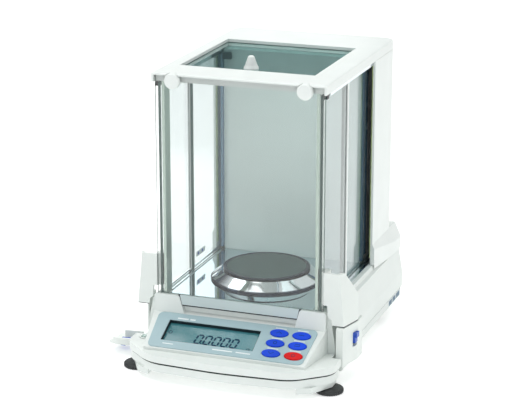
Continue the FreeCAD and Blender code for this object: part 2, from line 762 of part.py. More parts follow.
def folded(side):
    """Where a piece drawn on a standing grip goes when the grip swings outwards to its open place."""
    swing = Rotation(Vector(0, side, 0), value_of("grip_open"))
    hinge = Vector(side * value_of("hinge_x"), 0, value_of("hinge_z"))
    return Placement(hinge - swing.multVec(hinge), swing)


def levers_and_grips():
    """The right grip stands closed; the left one is drawn the same and folded out flat."""
    for name, side, corner, open_out in (("left", -1, 20, True), ("right", 1, 3, False)):
        lever(name, side)
        for label, obj in (("grip_" + name, grip(name, side, corner)), ("latch_" + name, latch(side))):
            place = folded(side) if open_out else Placement()
            obj.Placement = place
            node(label, obj, place.Base.x, place.Base.y, place.Base.z)


# Feet, sockets and what the case holds

def feet():
    for name, side in SIDES.items():
        disc = turned([("0", "0"), ("foot_radius - 1", "0"), ("foot_radius", "1"), ("foot_radius", "3.6"),
                       ("foot_radius - 1.5", "4.8"), ("3", "4.8"), ("3", "17"), ("0", "17")])
        node("levelling_foot_" + name, disc, "%d*foot_x" % side, "foot_y")
    pads = [rod("%d*rear_foot_x" % side, "rear_foot_y", "0", "rear_foot_radius", "tray_low - 0.05")
            for side in SIDES.values()]
    node("rear_feet", group(*pads))


def sockets():
    shell = box("-60", "-24", "case_rear - 10", "case_rear - 0.2", "40", "55")
    well = box("-56", "-28", "case_rear - 6", "case_rear", "43", "52")
    pins = [rod("-53.2 + %d*5.6" % i, "case_rear - 7", "49.2", "0.6", "4", "y") for i in range(5)]
    pins += [rod("-50.4 + %d*5.6" % i, "case_rear - 7", "45.8", "0.6", "4", "y") for i in range(4)]
    node("serial_socket", fuse(cut(shell, well), *pins))
    jack = cut(rod("20", "case_rear - 14", "47", "6", "13.8", "y"),
               rod("20", "case_rear - 10", "47", "3", "11", "y"))
    tip = rod("20", "case_rear - 11", "47", "1", "9", "y")
    node("power_socket", fuse(jack, tip))
    post = cut(rod("50", "case_rear - 12", "47", "4", "11.8", "y"),
               rod("50", "case_rear - 9", "47", "1.6", "9", "y"))
    node("earth_terminal", post)


def chassis():
    plate = box("-85", "85", "-70", "150", "tray_low + 3", "tray_low + 8")
    hook = rod("0", "0", "tray_low", "10", "12")
    pads = [box("%d*76 - 8" % side, "%d*76 + 8" % side, "-40", "-24", "tray_low + 7", "tray_low + 12")
            for side in SIDES.values()]
    node("chassis_plate", cut(fuse(plate, *pads), hook))


def weigh_cell():
    """A parallel-guided block with the balance beam, its coil and the magnet behind it."""
    block = box("-22", "22", "12", "70", "tray_low + 8.05", "62")
    channel = box("-8", "8", "11", "71", "40", "63")
    slots = [box("-23", "23", "20", "62", z, "%s + 1.2" % z) for z in ("28", "34")]
    flexures = [rod("-23", y, z, "2.2", "46", "x") for y in ("20", "62") for z in ("28.6", "34.6")]
    node("cell_block", cut(block, channel, *(slots + flexures)))
    bar = fuse(box("-5", "5", "8", "95", "53", "57"), rod("-5", "20", "55", "3.2", "10", "x"))
    tail = rod("0", "95", "52", "8", "5")
    stem = rod("0", "95", "44", "3", "10")
    former = cut(rod("0", "95", "34", "15", "11"), rod("0", "95", "33", "13.5", "10"))
    pivot = rod("-6", "20", "55", "1.2", "12", "x")
    node("balance_beam", cut(fuse(bar, tail, stem, former), pivot))
    cup = cut(rod("0", "95", "tray_low + 8.05", "22", "27"), rod("0", "95", "27", "17.5", "21"))
    core = cut(rod("0", "95", "26", "11", "13.5"), rod("0", "95", "38", "4.5", "3"))
    node("magnet", fuse(cup, core))


def calibration():
    """An inner weight lifted to the pan's fork by a motor and an eccentric."""
    y = "-28"
    weight = rod("-24", y, "39.6", "8", "48", "x")
    node("calibration_weight", group(weight))
    shaft = rod("-6", y, "27.5", "2", "39.5", "x")
    disc = rod("-4", y, "26", "5", "8", "x")
    node("lifting_cam", fuse(shaft, disc))
    motor = cut(rod("34", y, "28.6", "8", "30", "x"), rod("33", y, "27.5", "2.1", "1.5", "x"))
    node("cam_motor", fuse(motor, box("36", "60", "-36", "-20", "tray_low + 8.05", "26")))


def main_board():
    board = box("-82", "-30", "-10", "120", "tray_low + 14", "tray_low + 15.6")
    chips = [box("-74", "-54", "%d" % y, "%d" % (y + 14), "tray_low + 15.5", "tray_low + 18")
             for y in (10, 50, 90)]
    studs = [rod(x, y, "tray_low + 8.05", "3", "6") for x in ("-78", "-34") for y in ("-4", "114")]
    node("main_board", fuse(board, *(chips + studs)))


def case_screws():
    """Screws that hold the case halves together from below."""
    screws = []
    for x, y in (("-92", "-60"), ("92", "-60"), ("-92", "150"), ("92", "150")):
        head = rod(x, y, "tray_low - 1.4", "3.4", "1.35")
        screws.append(head)
    node("case_screws", group(*screws))


for make in (upper_case, lower_case, console_housing, display_panel, keys, display_electronics, spirit_level,
             front_strip, chamber_floor, weighing_group, rear_wall, column_cover, column_seals, top_frame,
             front_glass, front_posts, front_knobs, glass_clips, top_door, side_doors, tracks,
             levers_and_grips, feet, sockets, chassis, weigh_cell, calibration, main_board, case_screws):
    make()

doc.recompute()

broken = [obj.Label for obj in doc.Objects if {"Invalid", "Error"} & set(obj.State)]
for obj in finished:
    if obj.Shape.isNull() or not obj.Shape.isValid() or not obj.Shape.Solids:
        broken.append(obj.Label)
if broken:
    raise RuntimeError("failed: " + ", ".join(broken))

os.makedirs("parts", exist_ok=True)
whole = FreeCAD.BoundBox()
for obj in finished:
    obj.Shape.exportStep("parts/%s.step" % obj.Label)
    whole.add(obj.Shape.BoundBox)
print(len(finished), "sub-parts; box", whole)
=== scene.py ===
import json
import math

import bmesh
import bpy
from mathutils import Matrix, Vector


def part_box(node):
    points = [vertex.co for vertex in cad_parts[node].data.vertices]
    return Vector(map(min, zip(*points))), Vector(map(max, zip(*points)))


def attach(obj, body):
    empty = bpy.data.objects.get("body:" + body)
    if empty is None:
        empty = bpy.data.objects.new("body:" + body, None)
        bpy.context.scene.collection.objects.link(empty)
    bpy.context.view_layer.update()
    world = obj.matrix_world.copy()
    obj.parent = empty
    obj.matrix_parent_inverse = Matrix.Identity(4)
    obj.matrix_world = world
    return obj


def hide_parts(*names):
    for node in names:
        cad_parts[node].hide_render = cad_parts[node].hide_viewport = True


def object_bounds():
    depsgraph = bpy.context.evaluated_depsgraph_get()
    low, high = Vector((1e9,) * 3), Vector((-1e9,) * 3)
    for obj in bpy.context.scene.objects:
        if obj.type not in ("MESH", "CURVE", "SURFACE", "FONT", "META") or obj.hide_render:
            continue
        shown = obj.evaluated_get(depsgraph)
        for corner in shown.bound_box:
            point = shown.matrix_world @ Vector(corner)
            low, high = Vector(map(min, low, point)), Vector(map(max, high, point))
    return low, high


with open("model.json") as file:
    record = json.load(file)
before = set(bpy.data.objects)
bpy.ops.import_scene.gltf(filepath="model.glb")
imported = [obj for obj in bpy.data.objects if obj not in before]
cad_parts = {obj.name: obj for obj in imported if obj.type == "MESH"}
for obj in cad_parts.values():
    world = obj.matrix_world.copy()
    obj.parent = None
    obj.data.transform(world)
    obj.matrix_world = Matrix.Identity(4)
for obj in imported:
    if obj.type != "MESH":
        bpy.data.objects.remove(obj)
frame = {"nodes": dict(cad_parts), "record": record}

# Looks of the analytical balance: camera, soft studio light, procedural finishes and the fine
# detail that rides on the CAD bodies. Metres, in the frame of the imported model.

MM = 0.001
CAD_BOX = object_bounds()

# ---------------------------------------------------------------- camera, floor and light

CAMERA_YAW = math.radians(19.92)
CAMERA_PITCH = math.radians(16.76)
CAMERA_AIM = Vector((0.0209, -0.0627, 0.1707))
CAMERA_DISTANCE = 2.0
LENS_MM = 134.1
SENSOR_MM = 36.0


def add_camera():
    """The view from the operator's right, a little above the chamber."""
    forward = Vector((
        -math.sin(CAMERA_YAW) * math.cos(CAMERA_PITCH),
        math.cos(CAMERA_YAW) * math.cos(CAMERA_PITCH),
        -math.sin(CAMERA_PITCH),
    ))
    data = bpy.data.cameras.new("camera")
    data.lens = LENS_MM
    data.sensor_width = SENSOR_MM
    camera = bpy.data.objects.new("camera", data)
    camera.rotation_mode = "QUATERNION"
    camera.rotation_quaternion = forward.to_track_quat("-Z", "Y")
    camera.location = CAMERA_AIM - forward * CAMERA_DISTANCE
    bpy.context.scene.collection.objects.link(camera)
    bpy.context.scene.camera = camera


def add_softbox(name, place, aim, size, power, mirrored=True):
    """A rectangular area light that looks at aim."""
    data = bpy.data.lights.new(name, "AREA")
    data.shape = "RECTANGLE"
    data.size = size[0]
    data.size_y = size[1]
    data.energy = power
    light = bpy.data.objects.new(name, data)
    light.location = place
    light.rotation_mode = "QUATERNION"
    light.rotation_quaternion = (Vector(aim) - Vector(place)).to_track_quat("-Z", "Y")
    light.visible_glossy = mirrored
    bpy.context.scene.collection.objects.link(light)


STUDIO_WHITE = (0.97, 0.985, 0.98)
STUDIO_STRENGTH = 0.86
# Dark parts of the studio that metal and glass mirror: direction, the cosines where the part starts
# and where it is full, and its colour.
STUDIO_PATCHES = [
    ((0.25, -0.90, 0.35), 0.62, 0.93, (0.05, 0.09, 0.13)),
    ((-0.92, 0.30, 0.12), 0.80, 0.92, (0.010, 0.022, 0.045)),
    ((-0.33, 0.90, 0.27), 0.86, 0.95, (0.10, 0.15, 0.155)),
]


def add_world():
    """A white studio, darker behind the operator, at the left and low behind the balance."""
    world = bpy.data.worlds.new("studio")
    bpy.context.scene.world = world
    world.use_nodes = True
    tree = world.node_tree
    background = tree.nodes["Background"]
    coordinates = add_node(tree, "ShaderNodeTexCoord")
    colour = STUDIO_WHITE
    for direction, start, full, patch in STUDIO_PATCHES:
        toward = add_node(tree, "ShaderNodeVectorMath", operation="DOT_PRODUCT")
        toward.inputs[1].default_value = Vector(direction).normalized()
        tree.links.new(coordinates.outputs["Generated"], toward.inputs[0])
        in_patch = spread(tree, toward.outputs["Value"], 0, 1, start, full)
        colour = blend(tree, in_patch, colour, patch)
    tree.links.new(colour, background.inputs["Color"])
    background.inputs["Strength"].default_value = STUDIO_STRENGTH


FLOOR_HALF = 12.0
FLOOR_GLOW = 0.34


def add_floor():
    """A pale matt floor with a weak glow of its own, so that it stays white out to its edges."""
    mesh = bpy.data.meshes.new("studio_floor")
    corners = [(FLOOR_HALF * x, FLOOR_HALF * y, 0) for x, y in ((-1, -1), (1, -1), (1, 1), (-1, 1))]
    mesh.from_pydata(corners, [], [(0, 1, 2, 3)])
    floor = bpy.data.objects.new("studio_floor", mesh)
    bpy.context.scene.collection.objects.link(floor)
    material, tree, shader = new_material("studio_floor")
    shader.inputs["Roughness"].default_value = 0.9
    colour_between(tree, shader, noise(tree, 3, 2), (0.90, 0.905, 0.90), (0.93, 0.935, 0.93))
    shader.inputs["Emission Color"].default_value = (1, 1, 1, 1)
    shader.inputs["Emission Strength"].default_value = FLOOR_GLOW
    mesh.materials.append(material)


def add_lights():
    """One large softbox above, two weak fills and a screen behind for the chamber floor to mirror."""
    centre = (CAD_BOX[0] + CAD_BOX[1]) / 2
    add_softbox("top_softbox", centre + Vector((-0.5, -0.2, 2.2)), centre, (2.4, 2.4), 36)
    add_softbox("front_fill", centre + Vector((0.9, -2.4, 0.9)), centre, (1.6, 1.6), 7, mirrored=False)
    add_softbox("right_fill", centre + Vector((2.4, -0.3, 0.9)), centre, (1.4, 1.4), 0.6, mirrored=False)
    screen = centre + Vector((-0.44, 0.76, 0.16))
    add_softbox("rear_screen", screen, screen + Vector((0, -1, 0)), (0.7, 0.26), 1.3)


# ---------------------------------------------------------------- material building blocks


def new_material(name):
    """A new material with its node tree and its principled shader."""
    material = bpy.data.materials.new(name)
    material.use_nodes = True
    return material, material.node_tree, material.node_tree.nodes["Principled BSDF"]


def add_node(tree, kind, **settings):
    """A node with its properties set."""
    made = tree.nodes.new(kind)
    for key, value in settings.items():
        setattr(made, key, value)
    return made


def place(tree, stretch=(1, 1, 1)):
    """Object coordinates, stretched along each axis: in the row frame while the part is at rest."""
    coordinates = add_node(tree, "ShaderNodeTexCoord")
    mapping = add_node(tree, "ShaderNodeMapping")
    mapping.inputs["Scale"].default_value = stretch
    tree.links.new(coordinates.outputs["Object"], mapping.inputs["Vector"])
    return mapping.outputs["Vector"]


def noise(tree, scale, detail=3, stretch=(1, 1, 1), rough=0.5):
    """A noise's factor. Scale is cells per metre."""
    made = add_node(tree, "ShaderNodeTexNoise")
    made.inputs["Scale"].default_value = scale
    made.inputs["Detail"].default_value = detail
    made.inputs["Roughness"].default_value = rough
    tree.links.new(place(tree, stretch), made.inputs["Vector"])
    return made.outputs["Fac"]


def spread(tree, factor, low, high, start=0.3, end=0.7):
    """A factor from start to end, mapped to low to high."""
    made = add_node(tree, "ShaderNodeMapRange")
    made.inputs["From Min"].default_value = start
    made.inputs["From Max"].default_value = end
    made.inputs["To Min"].default_value = low
    made.inputs["To Max"].default_value = high
    tree.links.new(factor, made.inputs["Value"])
    return made.outputs["Result"]


def ramp(tree, factor, *stops):
    """A colour ramp with (position, colour) stops."""
    made = add_node(tree, "ShaderNodeValToRGB")
    elements = made.color_ramp.elements
    while len(elements) < len(stops):
        elements.new(0.5)
    for element, (position, colour) in zip(elements, stops):
        element.position = position
        element.color = (*colour, 1)
    tree.links.new(factor, made.inputs["Fac"])
    return made.outputs["Color"]


def blend(tree, factor, first, second):
    """A colour that goes from first to second with the factor. Each is a colour or a socket."""
    mix = add_node(tree, "ShaderNodeMix", data_type="RGBA")
    tree.links.new(factor, mix.inputs["Factor"])
    for side, colour in (("A", first), ("B", second)):
        if isinstance(colour, tuple):
            mix.inputs[side].default_value = (*colour, 1)
        else:
            tree.links.new(colour, mix.inputs[side])
    return mix.outputs["Result"]


def repaint(material, where, colour):
    """Give a finished material another colour wherever the factor is 1."""
    tree = material.node_tree
    base = tree.nodes["Principled BSDF"].inputs["Base Color"]
    tree.links.new(blend(tree, where, base.links[0].from_socket, colour), base)


def colour_between(tree, shader, factor, first, second, start=0.35, end=0.65):
    """Base colour from first to second while the factor goes from start to end."""
    tree.links.new(ramp(tree, factor, (start, first), (end, second)), shader.inputs["Base Color"])


def rough_between(tree, shader, factor, low, high):
    """Roughness from low to high with a noise's factor."""
    tree.links.new(spread(tree, factor, low, high), shader.inputs["Roughness"])


def bump(tree, shader, height, depth):
    """Bump of a depth in metres."""
    made = add_node(tree, "ShaderNodeBump")
    made.inputs["Distance"].default_value = depth
    tree.links.new(height, made.inputs["Height"])
    tree.links.new(made.outputs["Normal"], shader.inputs["Normal"])


def shade(colour, share):
    """A colour made darker or lighter by a share."""
    return tuple(share * part for part in colour)


# ---------------------------------------------------------------- finishes, one for each slot


def moulded(name, colour, roughness, grain=1500, depth=0.03 * MM, mottle=0.965, gloss=0.5):
    """Moulded plastic: fine spark-eroded grain, a faint large mottle and uneven gloss."""
    material, tree, shader = new_material(name)
    colour_between(tree, shader, noise(tree, 22, 4), shade(colour, mottle), colour)
    rough_between(tree, shader, noise(tree, 60, 3), roughness - 0.05, roughness + 0.05)
    bump(tree, shader, noise(tree, grain, 2), depth)
    shader.inputs["Specular IOR Level"].default_value = gloss
    return material


def seam_shaded(name, colour, roughness, seam_height):
    """Moulded plastic painted dark above a height: painted shade in the gap of the parting line, where
    only the parting line shows it.
    """
    material = moulded(name, colour, roughness)
    tree = material.node_tree
    parts = add_node(tree, "ShaderNodeSeparateXYZ")
    tree.links.new(place(tree), parts.inputs[0])
    in_seam = spread(tree, parts.outputs["Z"], 0, 1, seam_height - 0.1 * MM, seam_height)
    repaint(material, in_seam, SEAM_SHADE)
    return material


def brushed(name, colour, roughness, stretch, depth=0.004 * MM, streaks=160, contrast=0.93, metal=1.0):
    """Metal with brushing lines: noise that is long along the axis with the small stretch."""
    material, tree, shader = new_material(name)
    shader.inputs["Metallic"].default_value = metal
    lines = noise(tree, streaks, 4, stretch, 0.65)
    colour_between(tree, shader, lines, shade(colour, contrast), colour)
    rough_between(tree, shader, lines, roughness - 0.04, roughness + 0.05)
    bump(tree, shader, lines, depth)
    return material


def distance_from_axis(tree, axis):
    """Distance in metres from the vertical line through axis."""
    coordinates = add_node(tree, "ShaderNodeTexCoord")
    centred = add_node(tree, "ShaderNodeVectorMath", operation="SUBTRACT")
    centred.inputs[1].default_value = (axis.x, axis.y, 0)
    flat = add_node(tree, "ShaderNodeVectorMath", operation="MULTIPLY")
    flat.inputs[1].default_value = (1, 1, 0)
    radius = add_node(tree, "ShaderNodeVectorMath", operation="LENGTH")
    tree.links.new(coordinates.outputs["Object"], centred.inputs[0])
    tree.links.new(centred.outputs["Vector"], flat.inputs[0])
    tree.links.new(flat.outputs["Vector"], radius.inputs[0])
    return radius.outputs["Value"]


def pan_metal(name, colour, rim_reflection_colour, roughness, axis, rim_start):
    """Satin disc turned on a lathe, painted smooth and dark outside rim_start as a painted dark reflection
    of the polished rim.
    """
    material, tree, shader = new_material(name)
    radius = distance_from_axis(tree, axis)
    rings = add_node(tree, "ShaderNodeTexNoise", noise_dimensions="1D")
    rings.inputs["Scale"].default_value = 900
    rings.inputs["Detail"].default_value = 4
    tree.links.new(radius, rings.inputs["W"])
    disc = ramp(tree, rings.outputs["Fac"], (0.35, shade(colour, 0.94)), (0.65, colour))
    # Rim band: painted dark reflection of the polished rim
    band = ramp(tree, noise(tree, 90, 3), (0.35, shade(rim_reflection_colour, 0.8)), (0.65, rim_reflection_colour))
    on_rim = spread(tree, radius, 0, 1, rim_start, rim_start + 0.3 * MM)
    tree.links.new(blend(tree, on_rim, disc, band), shader.inputs["Base Color"])
    tree.links.new(spread(tree, on_rim, roughness, 0.12, 0, 1), shader.inputs["Roughness"])
    tree.links.new(spread(tree, on_rim, 1.0, 0.0, 0, 1), shader.inputs["Metallic"])
    shader.inputs["Specular IOR Level"].default_value = 0.08
    bump(tree, shader, rings.outputs["Fac"], 0.004 * MM)
    return material


def polished(name, colour, roughness):
    """Mirror metal with faint wipe marks."""
    material, tree, shader = new_material(name)
    shader.inputs["Metallic"].default_value = 1.0
    marks = noise(tree, 35, 5, (1, 0.4, 1), 0.6)
    colour_between(tree, shader, marks, shade(colour, 0.97), colour)
    rough_between(tree, shader, marks, max(roughness - 0.015, 0.0), roughness + 0.02)
    return material


def ring_chrome(name, colour, rim_reflection_colour, axis, rim_start):
    """Chrome with a painted dark reflection outside rim_start, where the outer wall mirrors the dark
    floor.
    """
    material = polished(name, colour, 0.02)
    tree = material.node_tree
    on_rim = spread(tree, distance_from_axis(tree, axis), 0, 1, rim_start, rim_start + 1.2 * MM)
    repaint(material, on_rim, rim_reflection_colour)
    return material


def rubber(name, colour, roughness):
    """Soft matt rubber or felt with a coarse grain."""
    material, tree, shader = new_material(name)
    colour_between(tree, shader, noise(tree, 120, 4), colour, shade(colour, 1.5))
    rough_between(tree, shader, noise(tree, 300, 3), roughness - 0.08, roughness + 0.1)
    bump(tree, shader, noise(tree, 2200, 2), 0.03 * MM)
    return material


def pane_glass(name, face_axis, tint_colour=(0.79, 0.83, 0.83)):
    """Float glass with dark ground edges, which are the faces that don't look along face_axis."""
    material, tree, shader = new_material(name)
    coordinates = add_node(tree, "ShaderNodeTexCoord")
    parts = add_node(tree, "ShaderNodeSeparateXYZ")
    size = add_node(tree, "ShaderNodeMath", operation="ABSOLUTE")
    tree.links.new(coordinates.outputs["Normal"], parts.inputs[0])
    tree.links.new(parts.outputs[face_axis], size.inputs[0])
    is_face = spread(tree, size.outputs[0], 0, 1, 0.5, 0.9)
    smear = noise(tree, 25, 4)
    tint = ramp(tree, smear, (0.3, tint_colour), (0.7, shade(tint_colour, 1.02)))
    edge = ramp(tree, smear, (0.3, (0.05, 0.10, 0.09)), (0.7, (0.08, 0.15, 0.13)))
    tree.links.new(blend(tree, is_face, edge, tint), shader.inputs["Base Color"])
    tree.links.new(spread(tree, is_face, 0.45, 0.0, 0, 1), shader.inputs["Roughness"])
    tree.links.new(spread(tree, is_face, 0.35, 1.0, 0, 1), shader.inputs["Transmission Weight"])
    shader.inputs["IOR"].default_value = 1.48
    open_for_lamps(tree, shader, shade(tint_colour, 0.98))
    return material


def open_for_lamps(tree, shader, tint):
    """Lamps reach what is behind the glass: a transparent shader stands in for shadow rays."""
    path = add_node(tree, "ShaderNodeLightPath")
    clear = add_node(tree, "ShaderNodeBsdfTransparent")
    clear.inputs["Color"].default_value = (*tint, 1)
    choice = add_node(tree, "ShaderNodeMixShader")
    tree.links.new(path.outputs["Is Shadow Ray"], choice.inputs["Fac"])
    tree.links.new(shader.outputs[0], choice.inputs[1])
    tree.links.new(clear.outputs[0], choice.inputs[2])
    tree.links.new(choice.outputs[0], tree.nodes["Material Output"].inputs["Surface"])


def liquid_crystal():
    """Reflective display: teal ground with a fine pixel weave under glass."""
    material, tree, shader = new_material("lcd")
    weave = noise(tree, 2600, 1, (1, 1, 0.2))
    cloud = noise(tree, 30, 3)
    base = ramp(tree, cloud, (0.3, (0.045, 0.20, 0.225)), (0.7, (0.075, 0.26, 0.30)))
    fine = ramp(tree, weave, (0.3, (0.90, 0.90, 0.90)), (0.7, (1, 1, 1)))
    product = add_node(tree, "ShaderNodeMix", data_type="RGBA", blend_type="MULTIPLY")
    product.inputs["Factor"].default_value = 1.0
    tree.links.new(base, product.inputs["A"])
    tree.links.new(fine, product.inputs["B"])
    tree.links.new(product.outputs["Result"], shader.inputs["Base Color"])
    rough_between(tree, shader, cloud, 0.16, 0.24)
    shader.inputs["Coat Weight"].default_value = 0.6
    shader.inputs["Coat Roughness"].default_value = 0.05
    return material


def vial_glass():
    """Pale green glass of the spirit level."""
    material, tree, shader = new_material("level_glass")
    colour_between(tree, shader, noise(tree, 300, 2), (0.72, 0.86, 0.80), (0.80, 0.92, 0.86))
    rough_between(tree, shader, noise(tree, 500, 2), 0.01, 0.04)
    shader.inputs["Transmission Weight"].default_value = 0.85
    open_for_lamps(tree, shader, (0.8, 0.9, 0.86))
    return material


def circuit_board():
    """Green lacquer over copper tracks, with bare pads."""
    material, tree, shader = new_material("circuit")
    tracks = add_node(tree, "ShaderNodeTexBrick")
    tracks.inputs["Scale"].default_value = 1.0
    tracks.inputs["Brick Width"].default_value = 0.012
    tracks.inputs["Row Height"].default_value = 0.003
    tracks.inputs["Mortar Size"].default_value = 0.0004
    tracks.inputs["Color1"].default_value = (0.02, 0.20, 0.09, 1)
    tracks.inputs["Color2"].default_value = (0.02, 0.16, 0.08, 1)
    tracks.inputs["Mortar"].default_value = (0.12, 0.36, 0.16, 1)
    tree.links.new(place(tree), tracks.inputs["Vector"])
    tree.links.new(tracks.outputs["Color"], shader.inputs["Base Color"])
    rough_between(tree, shader, noise(tree, 400, 2), 0.25, 0.4)
    bump(tree, shader, tracks.outputs["Fac"], 0.03 * MM)
    return material


WHITE = (0.80, 0.84, 0.81)
# Painted dark reflection on the draught ring's outer wall
DARK_REFLECTION_NAVY = (0.010, 0.022, 0.045)
# Painted shade for the gap between the upper and lower case
SEAM_SHADE = (0.02, 0.035, 0.03)
SEAM_GAP = 2.2 * MM
SEAM_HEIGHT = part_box("upper_case")[0].z - SEAM_GAP

PAN_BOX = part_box("weighing_pan")
PAN_AXIS = (PAN_BOX[0] + PAN_BOX[1]) / 2
PAN_RADIUS = PAN_BOX[1].x - PAN_AXIS.x
PAN_RIM = 4.3 * MM
RING_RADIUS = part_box("draught_ring")[1].y - PAN_AXIS.y
RING_RIM = 2.0 * MM

FINISHES = {
    "housing": moulded("housing", WHITE, 0.46),
    "frame": moulded("frame", (0.83, 0.865, 0.84), 0.38, depth=0.02 * MM),
    "lever": moulded("lever", (0.81, 0.85, 0.815), 0.42),
    "panel": moulded("panel", (0.40, 0.54, 0.575), 0.40, 2600, 0.01 * MM, gloss=0.3),
    "lcd": liquid_crystal(),
    "key_blue": moulded("key_blue", (0.004, 0.070, 0.80), 0.36, 2600, 0.01 * MM, 0.8, 0.22),
    "key_red": moulded("key_red", (0.78, 0.002, 0.004), 0.36, 2600, 0.01 * MM, 0.85, 0.22),
    "latch_blue": moulded("latch_blue", (0.020, 0.085, 0.52), 0.30, 2000, 0.01 * MM, 0.85, 0.4),
    "clear_glass": pane_glass("clear_glass", 1),
    "seal": moulded("seal", (0.16, 0.26, 0.36), 0.24, 2000, 0.01 * MM, 0.9),
    "clip": moulded("clip", (0.014, 0.014, 0.017), 0.4, 2200),
    "post": brushed("post", (0.50, 0.58, 0.52), 0.36, (1, 1, 0.01)),
    "strip": moulded("strip", (0.58, 0.67, 0.67), 0.36, 2200, 0.01 * MM),
    "track": polished("track", (0.80, 0.85, 0.87), 0.05),
    "back_panel": brushed("back_panel", (0.78, 0.85, 0.82), 0.55, (1, 1, 0.012), 0.0001 * MM, 300, 0.98,
                          metal=0.25),
    "floor": polished("floor", (0.58, 0.68, 0.72), 0.03),
    "chrome": polished("chrome", (0.90, 0.92, 0.93), 0.02),
    "pan": pan_metal("pan", (0.040, 0.100, 0.088), (0.004, 0.011, 0.024), 0.30, PAN_AXIS,
                     PAN_RADIUS - PAN_RIM),
    "steel": brushed("steel", (0.60, 0.61, 0.62), 0.28, (1, 0.2, 1)),
    "aluminium": brushed("aluminium", (0.72, 0.73, 0.74), 0.34, (1, 0.05, 1)),
    "circuit": circuit_board(),
    "silicone": rubber("silicone", (0.30, 0.32, 0.35), 0.5),
    "foot_rubber": rubber("foot_rubber", (0.016, 0.018, 0.019), 0.5),
    "level_glass": vial_glass(),
    "brass": brushed("brass", (0.80, 0.58, 0.24), 0.26, (0.05, 1, 1)),
    "connector": moulded("connector", (0.020, 0.021, 0.024), 0.42, 2200),
    "magnet": polished("magnet", (0.36, 0.36, 0.38), 0.25),
}
SIDE_GLASS = pane_glass("side_glass", 0)
# Nodes that look different from the rest of their slot
OWN_FINISHES = {
    "front_pane_left": SIDE_GLASS,
    "front_pane_right": SIDE_GLASS,
    "rear_pane_left": SIDE_GLASS,
    "rear_pane_right": SIDE_GLASS,
    "front_glass": pane_glass("front_glass", 1, (0.955, 0.97, 0.965)),
    "top_glass": pane_glass("lid_glass", 2, (0.60, 0.74, 0.73)),
    "lower_case": seam_shaded("lower_housing", WHITE, 0.46, SEAM_HEIGHT),
    "draught_ring": ring_chrome("ring_chrome", (0.84, 0.86, 0.88), DARK_REFLECTION_NAVY, PAN_AXIS, RING_RADIUS - RING_RIM),
}
# Finishes of the fine pieces
FELT = rubber("felt", (0.46, 0.56, 0.22), 0.9)
INK = moulded("ink", (0.008, 0.045, 0.085), 0.5, 2600, 0.005 * MM, 0.9, 0.1)
PRINT = moulded("print", (0.80, 0.86, 0.86), 0.4, 2600, 0.005 * MM)
DARK = moulded("dark", (0.012, 0.020, 0.026), 0.35, 2200, 0.01 * MM)
BLUE_PRINT = moulded("blue_print", (0.035, 0.12, 0.20), 0.4, 2600, 0.005 * MM)


def finish_cad_nodes():
    """Each CAD node takes the finish of its slot in the record, or its own."""
    for part in frame["record"]["subparts"]:
        name = part["node"]
        finish = OWN_FINISHES.get(name, FINISHES[part["material_slot"]])
        node = frame["nodes"][name]
        for index in range(len(node.data.materials)):
            node.data.materials[index] = finish


# ---------------------------------------------------------------- fine pieces on the CAD bodies
# Drawn in millimetres about the pan's axis, or on the console's slope: u across, v up the slope,
# w out of it.

CASE = Matrix.Translation((PAN_AXIS.x, PAN_AXIS.y, 0)) @ Matrix.Scale(MM, 4)
CONSOLE_TOP = (0, -88, 57)
CONSOLE_SLOPE = math.radians(25.1)
CONSOLE = CASE @ Matrix.Translation(CONSOLE_TOP) @ Matrix.Rotation(CONSOLE_SLOPE, 4, "X")
SIDES = {"left": -1, "right": 1}
SHARP_FROM = math.radians(32)
BEVEL_FROM = 0.5


def box_mm(node):
    """A CAD node's lowest and highest corners in the millimetres of CASE."""
    to_mm = CASE.inverted()
    return [to_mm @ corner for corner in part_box(node)]


def middle_mm(node):
    low, high = box_mm(node)
    return (low + high) / 2


def piece(name, shape, body, slot, finish=None, where=CASE, bevel=0.0):
    """Make a bmesh into a named piece that rides on a body and takes a slot's finish."""
    if bevel:
        bmesh.ops.remove_doubles(shape, verts=shape.verts, dist=1e-5)
        edges = [edge for edge in shape.edges
                 if len(edge.link_faces) == 2 and edge.calc_face_angle() > BEVEL_FROM]
        bmesh.ops.bevel(shape, geom=edges, offset=bevel, segments=2, profile=0.5, affect="EDGES")
    bmesh.ops.recalc_face_normals(shape, faces=shape.faces)
    shape.transform(where)
    mesh = bpy.data.meshes.new(name)
    shape.to_mesh(mesh)
    shape.free()
    for face in mesh.polygons:
        face.use_smooth = True
    mesh.set_sharp_from_angle(angle=SHARP_FROM)
    mesh.materials.append(finish or FINISHES[slot])
    made = bpy.data.objects.new(name, mesh)
    bpy.context.scene.collection.objects.link(made)
    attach(made, body)
    return made


def add_slab(shape, outline, low, high, plane="XY"):
    """A slab with that outline on a plane, from low to high along the third axis."""
    order = {"XY": (0, 1, 2), "XZ": (0, 2, 1), "YZ": (2, 0, 1)}[plane]
    rings = []
    for height in (low, high):
        points = [(a, b, height) for a, b in outline]
        rings.append([shape.verts.new([point[i] for i in order]) for point in points])
    count = len(outline)
    shape.faces.new(rings[0])
    shape.faces.new(rings[1])
    for i in range(count):
        j = (i + 1) % count
        shape.faces.new((rings[0][i], rings[0][j], rings[1][j], rings[1][i]))


def add_block(shape, x, y, z):
    """A block between two values on each axis."""
    add_slab(shape, [(x[0], y[0]), (x[1], y[0]), (x[1], y[1]), (x[0], y[1])], *z)


